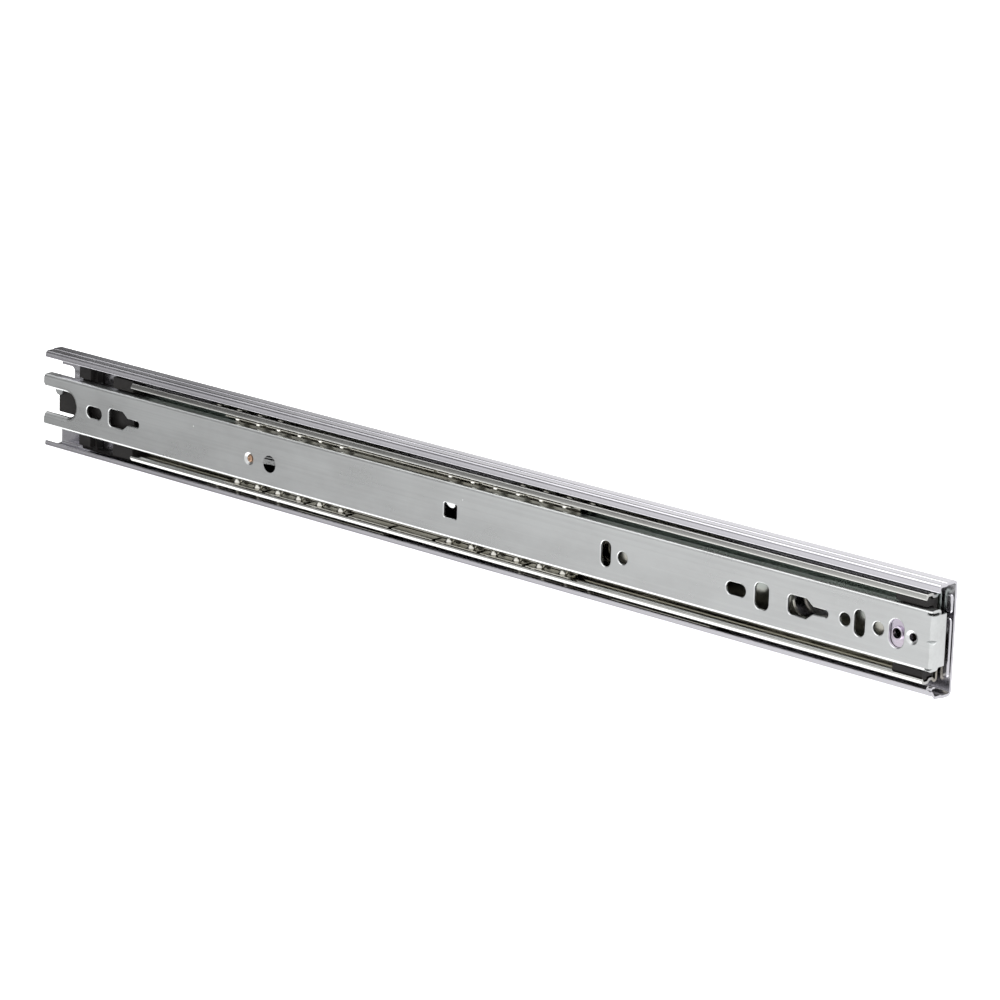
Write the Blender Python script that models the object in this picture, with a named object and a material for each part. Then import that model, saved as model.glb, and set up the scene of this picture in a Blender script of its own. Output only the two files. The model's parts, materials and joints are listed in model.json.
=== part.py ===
"""Full-extension ball-bearing drawer slide, 508 mm long, closed.

Three rolled steel members run in one another on two pairs of ball rows, each pair held by a sheet retainer.
+X is the opening direction, +Z is up and the cabinet member's mounting face lies on Y = 0.
Sizes are in millimetres and are turned into metres as meshes are made. A "station" is a distance along X
from the rear end of the cabinet member, and a "section" is a list of (Y, Z) points.
"""
import math

import bmesh
import bpy
from mathutils import Vector

MM = 0.001

# Driving dimensions
LENGTH = 508.0
HEIGHT = 45.7
TRACK_HEIGHT = 44.9
DEPTH = 12.7
OUTER_DEPTH = 11.3
SHEET = 1.2
THIN_SHEET = 1.1
RETAINER_SHEET = 0.5
BALL_RADIUS = 1.9
BALL_PITCH = 12.8
GAP = 0.3

# Where each member lies
INTERMEDIATE_REAR = 58.2
INTERMEDIATE_FRONT = 502.6
INNER_REAR = 0.6
INNER_FRONT = 506.0

BUMPER_STATIONS = (18.5, 57.0)

# Section heights, from the middle of the slide
LIP_EDGE = 19.2
INNER_HALF_HEIGHT = 12.1
OUTER_BALL_HEIGHT = 19.1
OUTER_BALL_Y = -6.3
INNER_BALL_HEIGHT = 14.4
INNER_BALL_Y = -8.9

# Retainers
INNER_RETAINER_MIDDLE = 220.6
INNER_TAB_COUNT = 8
INNER_TAB_NOTCH = 2.0
INNER_TABS_WITHOUT_BALLS = (3, 4)
OUTER_RETAINERS = {"rear": 104.0, "front": 285.0}
OUTER_RETAINER_LENGTH = 113.0
OUTER_PAD_START = 59.0
OUTER_PAD_LENGTH = 52.0
OUTER_FIRST_BALL = 6.0
OUTER_BALLS_PER_ROW = 4

ROUND_STEPS = 24
SMALL_ROUND_STEPS = 16


# ---------------------------------------------------------------- scene and materials

def clear_scene():
    for obj in list(bpy.data.objects):
        bpy.data.objects.remove(obj, do_unlink=True)


def material(name, colour, roughness, metallic):
    mat = bpy.data.materials.new(name)
    mat.use_nodes = True
    shader = mat.node_tree.nodes["Principled BSDF"]
    shader.inputs["Base Color"].default_value = (*colour, 1.0)
    shader.inputs["Roughness"].default_value = roughness
    shader.inputs["Metallic"].default_value = metallic
    return mat


def body_empty(name):
    """The moving group's own origin: slides have no pivot, so it lies on the middle line of travel."""
    empty = bpy.data.objects.new(name, None)
    bpy.context.collection.objects.link(empty)
    return empty


# ---------------------------------------------------------------- outlines

def place(station, y, z):
    return Vector(((station - LENGTH / 2) * MM, y * MM, z * MM))


def arc(centre, radius, start, end, steps):
    """Points on an arc, angles in degrees, both ends included."""
    points = []
    for step in range(steps + 1):
        angle = math.radians(start + (end - start) * step / steps)
        points.append((centre[0] + radius * math.cos(angle), centre[1] + radius * math.sin(angle)))
    return points


def rounded_path(corners, steps=5):
    """An open path through corners given as (a, b, bend radius); its two ends have no bend."""
    path = [corners[0][:2]]
    for before, corner, after in zip(corners, corners[1:], corners[2:]):
        here = Vector(corner[:2])
        towards_before = (Vector(before[:2]) - here).normalized()
        towards_after = (Vector(after[:2]) - here).normalized()
        half_angle = towards_before.angle(towards_after) / 2
        setback = corner[2] / math.tan(half_angle)
        middle = (towards_before + towards_after).normalized()
        centre = here + middle * (corner[2] / math.sin(half_angle))
        first = here + towards_before * setback - centre
        turn = first.angle_signed(here + towards_after * setback - centre)
        for step in range(steps + 1):
            angle = -turn * step / steps
            spoke = Vector((first.x * math.cos(angle) - first.y * math.sin(angle),
                            first.x * math.sin(angle) + first.y * math.cos(angle)))
            path.append(tuple(centre + spoke))
    path.append(corners[-1][:2])
    return path


def sheet_outline(path, thickness, end_steps=2):
    """The closed outline of a sheet of even thickness whose middle follows the path, with rounded ends."""
    count = len(path)
    normals = []
    for index in range(count):
        back = Vector(path[max(index - 1, 0)])
        here = Vector(path[index])
        ahead = Vector(path[min(index + 1, count - 1)])
        sides = []
        for start, end in ((back, here), (here, ahead)):
            if (end - start).length > 1e-9:
                direction = (end - start).normalized()
                sides.append(Vector((-direction.y, direction.x)))
        mean = sum(sides, Vector((0.0, 0.0))).normalized()
        normals.append(mean / mean.dot(sides[0]))
    half = thickness / 2
    left = [Vector(point) + normal * half for point, normal in zip(path, normals)]
    right = [Vector(point) - normal * half for point, normal in zip(path, normals)]

    def end_cap(centre, start_normal):
        outward = Vector((start_normal.y, -start_normal.x))
        points = []
        for step in range(1, end_steps + 1):
            angle = math.pi * step / (end_steps + 1)
            points.append(Vector(centre) + (start_normal * math.cos(angle) + outward * math.sin(angle)) * half)
        return points

    outline = left + end_cap(path[-1], normals[-1])
    outline += list(reversed(right)) + end_cap(path[0], -normals[0])
    return [tuple(point) for point in outline]


def mirrored(half_path):
    """The whole path from its upper half, which ends at the web."""
    return half_path + [(y, -z) for y, z in reversed(half_path)]


def box_outline(a_low, a_high, b_low, b_high):
    return [(a_low, b_low), (a_high, b_low), (a_high, b_high), (a_low, b_high)]


def slot_outline(station, z, width, height, steps=8, corner=None):
    """A slot with round ends, or a window with small corner radii; its long side may lie either way."""
    radius = corner or min(width, height) / 2
    along = width / 2 - radius
    up = height / 2 - radius
    points = []
    for side_a, side_b, start in ((1, -1, -90), (1, 1, 0), (-1, 1, 90), (-1, -1, 180)):
        points += arc((station + side_a * along, z + side_b * up), radius, start, start + 90, steps // 2)
    return tidy_outline(points)


def round_outline(station, z, diameter, steps=ROUND_STEPS):
    return arc((station, z), diameter / 2, 0, 360 - 360 / steps, steps - 1)


def keyhole_outline(station):
    """A wide hooking end at the rear that narrows to a slot towards the front."""
    rear, shoulder, neck, front = station, station + 9.2, station + 12.6, station + 20.0
    wide, narrow = 4.0, 1.45
    upper = arc((front - narrow, 0), narrow, 0, 90, 4)
    upper += [(neck, narrow), (shoulder, wide)]
    upper += arc((rear + 2.0, wide - 2.0), 2.0, 90, 180, 4)
    lower = [(a, -b) for a, b in reversed(upper[1:])]
    return tidy_outline(upper + lower)


def tidy_outline(points):
    """Drops points that lie on the one before them."""
    kept = []
    for point in points:
        if not kept or (Vector(point) - Vector(kept[-1])).length > 1e-6:
            kept.append(point)
    if (Vector(kept[0]) - Vector(kept[-1])).length < 1e-6:
        kept.pop()
    return kept


def grown(outline, distance):
    """A convex or gently concave outline moved outwards by a distance; it runs counter-clockwise."""
    result = []
    count = len(outline)
    for index in range(count):
        here = Vector(outline[index])
        before = (here - Vector(outline[index - 1])).normalized()
        after = (Vector(outline[(index + 1) % count]) - here).normalized()
        normal_before = Vector((before.y, -before.x))
        normal_after = Vector((after.y, -after.x))
        mean = (normal_before + normal_after).normalized()
        result.append(tuple(here + mean * distance / max(mean.dot(normal_before), 0.4)))
    return result


# ---------------------------------------------------------------- solids

def make_object(name, mesh_builder, mat=None, parent=None):
    mesh = bpy.data.meshes.new(name)
    bm = bmesh.new()
    mesh_builder(bm)
    bmesh.ops.recalc_face_normals(bm, faces=bm.faces)
    bm.to_mesh(mesh)
    bm.free()
    obj = bpy.data.objects.new(name, mesh)
    bpy.context.collection.objects.link(obj)
    if mat:
        mesh.materials.append(mat)
    obj.parent = parent
    return obj


def add_loft(bm, rings):
    """A closed solid through rings of equal length, capped at both ends."""
    loops = [[bm.verts.new(point) for point in ring] for ring in rings]
    count = len(loops[0])
    for lower, upper in zip(loops, loops[1:]):
        for index in range(count):
            after = (index + 1) % count
            bm.faces.new((lower[index], lower[after], upper[after], upper[index]))
    bm.faces.new(list(reversed(loops[0])))
    bm.faces.new(loops[-1])


def add_length(bm, section, start, end):
    """A section in (Y, Z) run along X between two stations."""
    add_loft(bm, [[place(station, y, z) for y, z in section] for station in (start, end)])


def add_through(bm, outline, y_levels):
    """An outline in (station, Z) run along Y; each level is (Y, amount the outline is grown by)."""
    add_loft(bm, [[place(a, y, b) for a, b in (grown(outline, growth) if growth else outline)]
                  for y, growth in y_levels])


def add_upright(bm, outline, z_low, z_high):
    """An outline in (station, Y) run along Z."""
    add_loft(bm, [[place(a, b, z) for a, b in outline] for z in (z_low, z_high)])


def add_box(bm, stations, ys, zs):
    add_upright(bm, box_outline(*stations, *ys), *zs)


def add_turned(bm, station, z, profile, steps):
    """A turned solid about a Y axis; the profile is (Y, radius) from one end to the other."""
    add_loft(bm, [[place(station + radius * math.cos(angle), y, z + radius * math.sin(angle))
                   for angle in (2 * math.pi * step / steps for step in range(steps))]
                  for y, radius in profile])


def combine(target, tool, operation):
    """Adds or removes a hidden tool solid."""
    tool.hide_render = True
    tool.display_type = "WIRE"
    modifier = target.modifiers.new(tool.name, "BOOLEAN")
    modifier.object = tool
    modifier.operation = operation
    modifier.solver = "EXACT"


def shade(obj, angle=30):
    obj.data.shade_smooth()
    obj.data.set_sharp_from_angle(angle=math.radians(angle))


# ---------------------------------------------------------------- sections

def outer_section():
    """C section whose flanges step in at the front, over the ball rows."""
    track = TRACK_HEIGHT / 2 - SHEET / 2
    rear = HEIGHT / 2 - SHEET / 2
    half = rounded_path([
        (-OUTER_DEPTH + SHEET / 2, LIP_EDGE + SHEET / 2),
        (-OUTER_DEPTH + SHEET / 2, track, 1.1),
        (-6.6, track, 0.7),
        (-6.1, rear, 0.7),
        (-SHEET / 2, rear, 1.6),
        (-SHEET / 2, 0.0)])
    return sheet_outline(mirrored(half[:-1]), SHEET)


def intermediate_section():
    """C section: each flange waves out over the inner balls and in under the outer balls."""
    web = -2.85
    centre_web = -4.7
    crest = 17.3
    trough = 16.25
    half = rounded_path([
        (-11.5, 15.9),
        (-10.6, crest, 0.8),
        (-8.0, crest, 0.8),
        (-7.1, trough, 0.8),
        (-5.3, trough, 0.8),
        (-4.3, crest, 0.7),
        (web, crest, 0.75),
        (web, 9.6, 0.9),
        (centre_web, 7.9, 0.9),
        (centre_web, 0.0)], steps=3)
    return sheet_outline(mirrored(half[:-1]), THIN_SHEET)


def inner_section():
    """C section open to the rear, with flanges that curl in at their free edges."""
    face = -DEPTH + SHEET / 2
    flange = INNER_HALF_HEIGHT - SHEET / 2
    half = rounded_path([
        (-7.0, 9.8),
        (-7.0, flange, 1.1),
        (face, flange, 1.4),
        (face, 0.0)])
    return sheet_outline(mirrored(half[:-1]), SHEET)


# ---------------------------------------------------------------- cabinet member

def outer_hole_outlines():
    """Screw holes on the 32 mm system: slots for adjusting, round holes for fixing."""
    outlines = [slot_outline(station, 0, 5.0, 10.0) for station in (37.0, 165.0, 293.0, 421.0)]
    outlines += [round_outline(station, 0, 5.0, SMALL_ROUND_STEPS) for station in (69.0, 197.0, 325.0, 389.0)]
    outlines += [slot_outline(station, 0, 10.0, 5.0) for station in (101.0, 357.0)]
    return outlines


def retainer_stop_path(side):
    """The curled tab that stops the outer retainer, bent up from the flange."""
    curl = arc((-8.2, 20.1), 1.35, 300, 100, 8)
    return [(y, side * z) for y, z in curl + [(-7.2, 21.7)]]


def make_outer_member(mat, parent):
    outer = make_object("outer_member", lambda bm: add_length(bm, outer_section(), 0.0, LENGTH), mat, parent)

    def stops(bm):
        for side in (1, -1):
            add_length(bm, sheet_outline(retainer_stop_path(side), 0.7), 503.4, 505.6)

    combine(outer, make_object("outer_member_stops", stops), "UNION")

    def cuts(bm):
        for outline in outer_hole_outlines():
            add_through(bm, outline, ((-SHEET - 1.0, 0), (1.0, 0)))
        rear_notch = slot_outline(0.0, 0, 2 * 8.4, 2 * 14.8, corner=2.0)
        add_through(bm, rear_notch, ((-SHEET - 1.0, 0), (1.0, 0)))
        lip_end = [(LENGTH + 1.0, -TRACK_HEIGHT / 2 + 0.6)]
        lip_end += arc((LENGTH - 3.2, -LIP_EDGE - 3.2), 3.2, 0, 90, 6)
        lip_end += [(LENGTH - 3.2, -LIP_EDGE + 1.0), (LENGTH + 1.0, -LIP_EDGE + 1.0)]
        add_through(bm, lip_end, ((-OUTER_DEPTH - 1.0, 0), (-OUTER_DEPTH + SHEET + 0.2, 0)))

    combine(outer, make_object("outer_member_cuts", cuts), "DIFFERENCE")
    shade(outer)
    return outer


def make_rear_bumper(mat, parent):
    """Plastic block that cushions the two moving members as they close."""
    rear, front = BUMPER_STATIONS
    bumper = make_object("rear_bumper",
                         lambda bm: add_box(bm, (rear, front), (-5.0, -SHEET - GAP), (-20.4, 20.4)), mat, parent)

    def additions(bm):
        add_box(bm, (6.5, front), (-8.6, -2.0), (-4.9, 4.9))
        for side in (1, -1):
            low, high = sorted((side * 13.0, side * 18.0))
            add_box(bm, (44.0, front), (-9.6, -4.0), (low, high))
            add_box(bm, (rear + 1.0, 27.0), (-8.0, -4.0), (low, high))

    combine(bumper, make_object("rear_bumper_blocks", additions), "UNION")

    def windows(bm):
        for side in (1, -1):
            add_through(bm, slot_outline(35.0, side * 15.0, 13.6, 8.4, corner=1.0), ((-6.0, 0), (0.0, 0)))
        add_through(bm, slot_outline(37.0, 0, 4.6, 6.0), ((-9.6, 0), (0.0, 0)))

    combine(bumper, make_object("rear_bumper_windows", windows), "DIFFERENCE")
    edge = bumper.modifiers.new("edges", "BEVEL")
    edge.width = 0.35 * MM
    edge.segments = 1
    shade(bumper)
    return bumper


# ---------------------------------------------------------------- intermediate member

def make_intermediate_member(mat, parent):
    member = make_object(
        "intermediate_member",
        lambda bm: add_length(bm, intermediate_section(), INTERMEDIATE_REAR, INTERMEDIATE_FRONT), mat, parent)

    def cuts(bm):
        outlines = [slot_outline(142.0, 0, 16.0, 10.0),
                    slot_outline(337.0, 0, 9.0, 12.0),
                    slot_outline(443.0, 0, 19.0, 12.6),
                    slot_outline(485.0, 0, 9.0, 12.0)]
        for outline in outlines:
            add_through(bm, outline, ((-7.0, 0), (-3.0, 0)))

    combine(member, make_object("intermediate_member_cuts", cuts), "DIFFERENCE")
    shade(member)
    return member


def make_front_guides(mat, parent):
    """Plastic blocks between the drawer member's flanges and the intermediate member's."""
    guide_section = [(-10.6, 12.5), (-6.1, 12.5), (-6.1, 9.9), (-3.75, 9.9), (-3.75, 16.1),
                     (-4.9, 15.3), (-7.6, 15.3), (-8.4, 16.35), (-10.1, 16.35), (-10.9, 14.9)]
    for side, word in ((1, "top"), (-1, "bottom")):
        section = [(y, side * z) for y, z in guide_section]
        guide = make_object("front_guide_" + word,
                            lambda bm: add_length(bm, section, 487.5, 502.0), mat, parent)
        edge = guide.modifiers.new("edges", "BEVEL")
        edge.width = 0.25 * MM
        edge.segments = 1
        shade(guide)


# ---------------------------------------------------------------- drawer member

def inner_face_outlines():
    """Every plain opening in the drawer member's face, from the rear."""
    return [slot_outline(34.5, 0, 10.0, 5.4),
            keyhole_outline(44.3),
            round_outline(148.0, -1.3, 6.6),
            slot_outline(255.8, 0, 7.4, 6.2, corner=0.8),
            slot_outline(342.3, 0, 5.2, 10.6),
            round_outline(351.3, 0, 5.2),
            slot_outline(410.5, 0, 10.0, 5.2),
            slot_outline(423.6, 0, 7.0, 10.6, corner=2.6),
            keyhole_outline(436.8),
            round_outline(465.0, 0, 5.2),
            slot_outline(472.1, 0, 5.2, 10.5),
            round_outline(481.3, 0, 5.2),
            slot_outline(490.0, 0, 7.2, 11.3)]


COUNTERSINKS = ((135.2, -1.3), (497.5, 0.0))
REAR_NOTCH_FRONT = 23.2
REAR_NOTCH_HALF_HEIGHT = 7.7


def rear_notch_path(inset):
    """The U of the rear notch, from its upper rear end round to its lower rear end."""
    radius = REAR_NOTCH_HALF_HEIGHT - inset
    centre = REAR_NOTCH_FRONT - REAR_NOTCH_HALF_HEIGHT
    return [(INNER_REAR, radius)] + arc((centre, 0), radius, 90, -90, 14) + [(INNER_REAR, -radius)]


def add_notch_flare(bm):
    """The notch's edge, pressed back and inwards as a funnel."""
    corners = ((-0.5, -DEPTH + 0.3), (-0.5, -DEPTH + SHEET - 0.3), (1.8, -10.0), (2.0, -11.1))
    rails = [rear_notch_path(inset) for inset, _ in corners]
    rings = [[place(rails[side][index][0], corners[side][1], rails[side][index][1]) for side in range(4)]
             for index in range(len(rails[0]))]
    add_loft(bm, rings)


def make_inner_member(mat, parent):
    inner = make_object("inner_member", lambda bm: add_length(bm, inner_section(), INNER_REAR, INNER_FRONT),
                        mat, parent)
    front, back = -DEPTH, -DEPTH + SHEET

    def notch(bm):
        outline = [(INNER_REAR - 1.0, REAR_NOTCH_HALF_HEIGHT)] + rear_notch_path(0.0)[1:-1]
        outline.append((INNER_REAR - 1.0, -REAR_NOTCH_HALF_HEIGHT))
        add_through(bm, list(reversed(outline)), ((front - 1.0, 0), (back + 0.8, 0)))

    combine(inner, make_object("inner_member_notch", notch), "DIFFERENCE")
    combine(inner, make_object("inner_member_flare", add_notch_flare), "UNION")

    def tabs(bm):
        detent = [(6.5, 6.4), (11.5, 6.4)] + arc((9.0, 5.9), 2.5, 0, -180, 8)
        add_through(bm, list(reversed(tidy_outline(detent))), ((-11.0, 0), (-10.1, 0)))
        stop = rounded_path([(front + 0.6, 3.6), (front + 0.6, 2.7, 0.7), (-9.4, 1.6)], 3)
        add_length(bm, sheet_outline(stop, 0.9), 253.6, 258.0)
        flange_path = rounded_path([(INNER_FRONT - 1.0, front + 0.6),
                                    (INNER_FRONT + 0.7, front + 0.6, 1.0),
                                    (INNER_FRONT + 0.7, -4.8)])
        add_upright(bm, sheet_outline(flange_path, SHEET - 0.1), -10.3, 10.3)

    def cuts(bm):
        for outline in inner_face_outlines():
            add_through(bm, outline, ((front - 0.5, 0.55), (front + 0.3, 0), (back + 0.8, 0)))
        for station, z in COUNTERSINKS:
            add_turned(bm, station, z, ((front - 0.2, 3.0), (front + 0.75, 1.7), (back + 0.8, 1.7)), ROUND_STEPS)
        dart = [(INNER_FRONT - 1.4, front - 0.9), (INNER_FRONT + 2.2, front - 0.9),
                (INNER_FRONT + 2.2, front + 2.7)]
        add_loft(bm, [[place(a, b, z) for a, b in ring] for ring, z in (
            (shrunk_to_tip(dart), -1.8), (dart, 0.0), (shrunk_to_tip(dart), 1.8))])

    combine(inner, make_object("inner_member_cuts", cuts), "DIFFERENCE")
    combine(inner, make_object("inner_member_tabs", tabs), "UNION")
    shade(inner)
    return inner


def shrunk_to_tip(outline):
    """A small copy of an outline about its outermost corner, the pointed end of a stiffening dart."""
    tip = Vector(outline[1])
    return [tuple(tip + (Vector(point) - tip) * 0.1) for point in outline]


def make_stop_rivet(mat, parent):
    station, z = COUNTERSINKS[0]
    profile = ((-12.45, 0.9), (-12.3, 1.5), (-11.9, 1.4), (-11.1, 1.4), (-11.1, 2.3), (-10.2, 2.3),
               (-9.9, 1.7), (-7.2, 1.7), (-6.9, 1.3))
    rivet = make_object("stop_rivet", lambda bm: add_turned(bm, station, z, profile, SMALL_ROUND_STEPS),
                        mat, parent)
    shade(rivet)


def make_adjuster_plate(mat, parent):
    """Small plate behind the drawer member's face; its raised boss shows in the large front slot."""
    back_of_face = -DEPTH + SHEET
    near, far = back_of_face + GAP, back_of_face + GAP + 1.0
    plate = make_object(
        "adjuster_plate",
        lambda bm: add_through(bm, slot_outline(493.4, 0, 17.0, 15.0, corner=2.0), ((near, 0), (far, 0))),
        mat, parent)
    combine(plate, make_object(
        "adjuster_plate_boss",
        lambda bm: add_turned(bm, 490.0, 0, ((-12.3, 2.5), (-12.1, 2.7), (near + 0.2, 2.7)), ROUND_STEPS)),
        "UNION")

    def holes(bm):
        add_turned(bm, 490.0, 0, ((-13.0, 2.05), (-9.0, 2.05)), ROUND_STEPS)
        add_turned(bm, 497.5, 0, ((-12.0, 1.6), (-9.0, 1.6)), SMALL_ROUND_STEPS)

    combine(plate, make_object("adjuster_plate_holes", holes), "DIFFERENCE")
    shade(plate)


# ---------------------------------------------------------------- retainers and balls

def inner_ball_stations():
    stations = []
    for tab in range(INNER_TAB_COUNT):
        if tab in INNER_TABS_WITHOUT_BALLS:
            continue
        middle = INNER_RETAINER_MIDDLE + (tab - (INNER_TAB_COUNT - 1) / 2) * 2 * BALL_PITCH
        stations += [middle - BALL_PITCH / 2, middle + BALL_PITCH / 2]
    return stations


def outer_ball_stations(rear):
    return [rear + OUTER_FIRST_BALL + index * BALL_PITCH for index in range(OUTER_BALLS_PER_ROW)]


def add_ball_windows(bm, stations, y, height):
    """Upright pockets that clear the balls, above and below."""
    for station in stations:
        pocket = arc((station, y), BALL_RADIUS + GAP, 0, 360 - 360 / SMALL_ROUND_STEPS, SMALL_ROUND_STEPS - 1)
        for side in (1, -1):
            add_upright(bm, pocket, *sorted((side * (height - 2.0), side * (height + 2.0))))


def make_inner_retainer(mat, parent):
    half_length = INNER_TAB_COUNT * BALL_PITCH - INNER_TAB_NOTCH / 2
    rear, front = INNER_RETAINER_MIDDLE - half_length, INNER_RETAINER_MIDDLE + half_length
    flange, web = 14.75, -5.8
    half = rounded_path([(-11.6, flange), (web, flange, 0.7), (web, 0.0)])
    section = sheet_outline(mirrored(half[:-1]), RETAINER_SHEET)
    retainer = make_object("inner_ball_retainer", lambda bm: add_length(bm, section, rear, front), mat, parent)

    def cuts(bm):
        add_ball_windows(bm, inner_ball_stations(), INNER_BALL_Y, flange)
        for notch in range(1, INNER_TAB_COUNT):
            middle = INNER_RETAINER_MIDDLE + (notch - INNER_TAB_COUNT / 2) * 2 * BALL_PITCH
            half_notch = INNER_TAB_NOTCH / 2
            for side in (1, -1):
                add_box(bm, (middle - half_notch, middle + half_notch), (-13.0, -7.2),
                        sorted((side * (flange - 1.5), side * (flange + 1.5))))
        add_through(bm, slot_outline(142.0, 0, 16.0, 10.0), ((-7.0, 0), (-5.0, 0)))

    combine(retainer, make_object("inner_ball_retainer_cuts", cuts), "DIFFERENCE")
    shade(retainer)


def make_outer_retainer(word, rear, mat, parent):
    """Balls at its rear end, then a full-width pad that shows under the intermediate member's lip."""
    flange, web = OUTER_BALL_HEIGHT, -SHEET - GAP - RETAINER_SHEET / 2
    half = rounded_path([(-9.6, flange), (web, flange, 0.7), (web, 0.0)])
    section = sheet_outline(mirrored(half[:-1]), RETAINER_SHEET)
    front = rear + OUTER_RETAINER_LENGTH
    pad_rear = rear + OUTER_PAD_START
    pad_front = pad_rear + OUTER_PAD_LENGTH
    retainer = make_object("outer_ball_retainer_" + word, lambda bm: add_length(bm, section, rear, front),
                           mat, parent)

    def cuts(bm):
        add_ball_windows(bm, outer_ball_stations(rear), OUTER_BALL_Y, flange)
        for stretch in ((rear - 1.0, pad_rear), (pad_front, front + 1.0)):
            for side in (1, -1):
                add_box(bm, stretch, (-11.0, -9.0), sorted((side * (flange - 1.5), side * (flange + 1.5))))
        for offset in (27.0, 85.0):
            add_through(bm, slot_outline(rear + offset, 0, 30.0, 20.0, corner=4.0), ((-3.0, 0), (-1.0, 0)))

    combine(retainer, make_object("outer_ball_retainer_cuts_" + word, cuts), "DIFFERENCE")
    shade(retainer)


def make_balls(word, stations, y, height, mat, parent):
    def sphere(bm):
        bmesh.ops.create_icosphere(bm, subdivisions=2, radius=BALL_RADIUS * MM)

    shared = None
    for side, row in ((1, "top"), (-1, "bottom")):
        for number, station in enumerate(stations, start=1):
            name = f"{word}_ball_{row}_{number:02d}"
            if shared is None:
                ball = make_object(name, sphere, mat, parent)
                ball.data.shade_smooth()
                shared = ball.data
            else:
                ball = bpy.data.objects.new(name, shared)
                bpy.context.collection.objects.link(ball)
                ball.parent = parent
            ball.location = place(station, y, side * height)


def main():
    clear_scene()
    outer_body = body_empty("cabinet_side")
    intermediate_body = body_empty("intermediate")
    inner_body = body_empty("drawer_side")
    outer_retainer_bodies = {word: body_empty("outer_retainer_" + word) for word in OUTER_RETAINERS}
    inner_retainer_body = body_empty("inner_retainer")

    steel = material("zinc_steel", (0.62, 0.62, 0.60), 0.28, 1.0)
    face_steel = material("zinc_steel_face", (0.66, 0.66, 0.64), 0.38, 1.0)
    retainer_steel = material("retainer_steel", (0.60, 0.61, 0.60), 0.30, 1.0)
    clear_zinc = material("clear_zinc", (0.66, 0.62, 0.70), 0.30, 1.0)
    ball_steel = material("ball_steel", (0.75, 0.74, 0.70), 0.12, 1.0)
    copper = material("copper_rivet", (0.62, 0.36, 0.24), 0.35, 1.0)
    black = material("black_plastic", (0.022, 0.020, 0.020), 0.45, 0.0)

    make_outer_member(steel, outer_body)
    make_rear_bumper(black, outer_body)
    make_intermediate_member(steel, intermediate_body)
    make_front_guides(black, intermediate_body)
    make_inner_member(face_steel, inner_body)
    make_stop_rivet(copper, inner_body)
    make_adjuster_plate(clear_zinc, inner_body)
    for word, rear in OUTER_RETAINERS.items():
        parent = outer_retainer_bodies[word]
        make_outer_retainer(word, rear, retainer_steel, parent)
        make_balls("outer_" + word, outer_ball_stations(rear), OUTER_BALL_Y, OUTER_BALL_HEIGHT,
                   ball_steel, parent)
    make_inner_retainer(retainer_steel, inner_retainer_body)
    make_balls("inner", inner_ball_stations(), INNER_BALL_Y, INNER_BALL_HEIGHT, ball_steel, inner_retainer_body)


main()
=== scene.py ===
"""The finished look of a full-extension ball-bearing drawer slide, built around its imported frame.

Every visible piece is rebuilt with fine bends, softened cut edges and pressed details, in the frame's own
place and size, and rides on the body of the node that it stands for. Shapes are written in millimetres with
stations counted along X from the rear end of the cabinet member, as on a drawing.
"""
import json
import math

import bmesh
import bpy
from mathutils import Matrix, Vector


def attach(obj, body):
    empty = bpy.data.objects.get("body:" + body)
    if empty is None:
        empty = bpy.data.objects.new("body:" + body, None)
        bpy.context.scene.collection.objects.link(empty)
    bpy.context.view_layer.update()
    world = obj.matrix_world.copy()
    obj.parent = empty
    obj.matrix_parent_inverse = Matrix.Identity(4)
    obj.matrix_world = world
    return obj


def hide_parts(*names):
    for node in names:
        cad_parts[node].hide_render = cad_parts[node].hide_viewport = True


MM = 0.001
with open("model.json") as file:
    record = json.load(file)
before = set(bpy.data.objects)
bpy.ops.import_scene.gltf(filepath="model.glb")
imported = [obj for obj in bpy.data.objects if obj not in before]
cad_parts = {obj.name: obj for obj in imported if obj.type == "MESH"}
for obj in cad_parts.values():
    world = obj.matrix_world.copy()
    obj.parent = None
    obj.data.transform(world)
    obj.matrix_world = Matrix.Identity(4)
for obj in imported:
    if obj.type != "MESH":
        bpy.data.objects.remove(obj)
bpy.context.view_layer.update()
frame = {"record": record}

LENGTH = 508.0
HEIGHT = 45.7
TRACK_HEIGHT = 44.9
DEPTH = 12.7
OUTER_DEPTH = 11.3
SHEET = 1.2
THIN_SHEET = 1.1
RETAINER_SHEET = 0.5
BALL_RADIUS = 1.9
BALL_PITCH = 12.8
GAP = 0.3

INTERMEDIATE_REAR = 58.2
INTERMEDIATE_FRONT = 502.6
INNER_REAR = 0.6
INNER_FRONT = 506.0

LIP_EDGE = 19.2
INNER_HALF_HEIGHT = 12.1
OUTER_BALL_HEIGHT = 19.1
OUTER_BALL_Y = -6.3
INNER_BALL_HEIGHT = 14.4
INNER_BALL_Y = -8.9

INNER_RETAINER_MIDDLE = 220.6
INNER_TAB_COUNT = 8
INNER_TAB_NOTCH = 2.0
INNER_TABS_WITHOUT_BALLS = (3, 4)
OUTER_RETAINERS = {"rear": 104.0, "front": 285.0}
OUTER_RETAINER_LENGTH = 113.0
OUTER_PAD_START = 59.0
OUTER_PAD_LENGTH = 52.0
OUTER_FIRST_BALL = 6.0
OUTER_BALLS_PER_ROW = 4

BUMPER_STATIONS = (18.5, 57.0)
GUIDE_STATIONS = (487.5, 502.0)
FRONT_EMBOSSES = ((9.4, 17.0), (-16.0, 7.6))
COUNTERSINKS = ((135.2, -1.3), (497.5, 0.0))
BOSS_STATION = 490.0
REAR_NOTCH_FRONT = 23.2
REAR_NOTCH_HALF_HEIGHT = 7.7
HANDLING_MARKS = ((100.0, 6.3), (263.0, 6.1))
TONGUE_MIDDLE = (255.5, 3.6)
TONGUE_RADIUS = 2.6
TONGUE_SLOPE = 0.35

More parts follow.
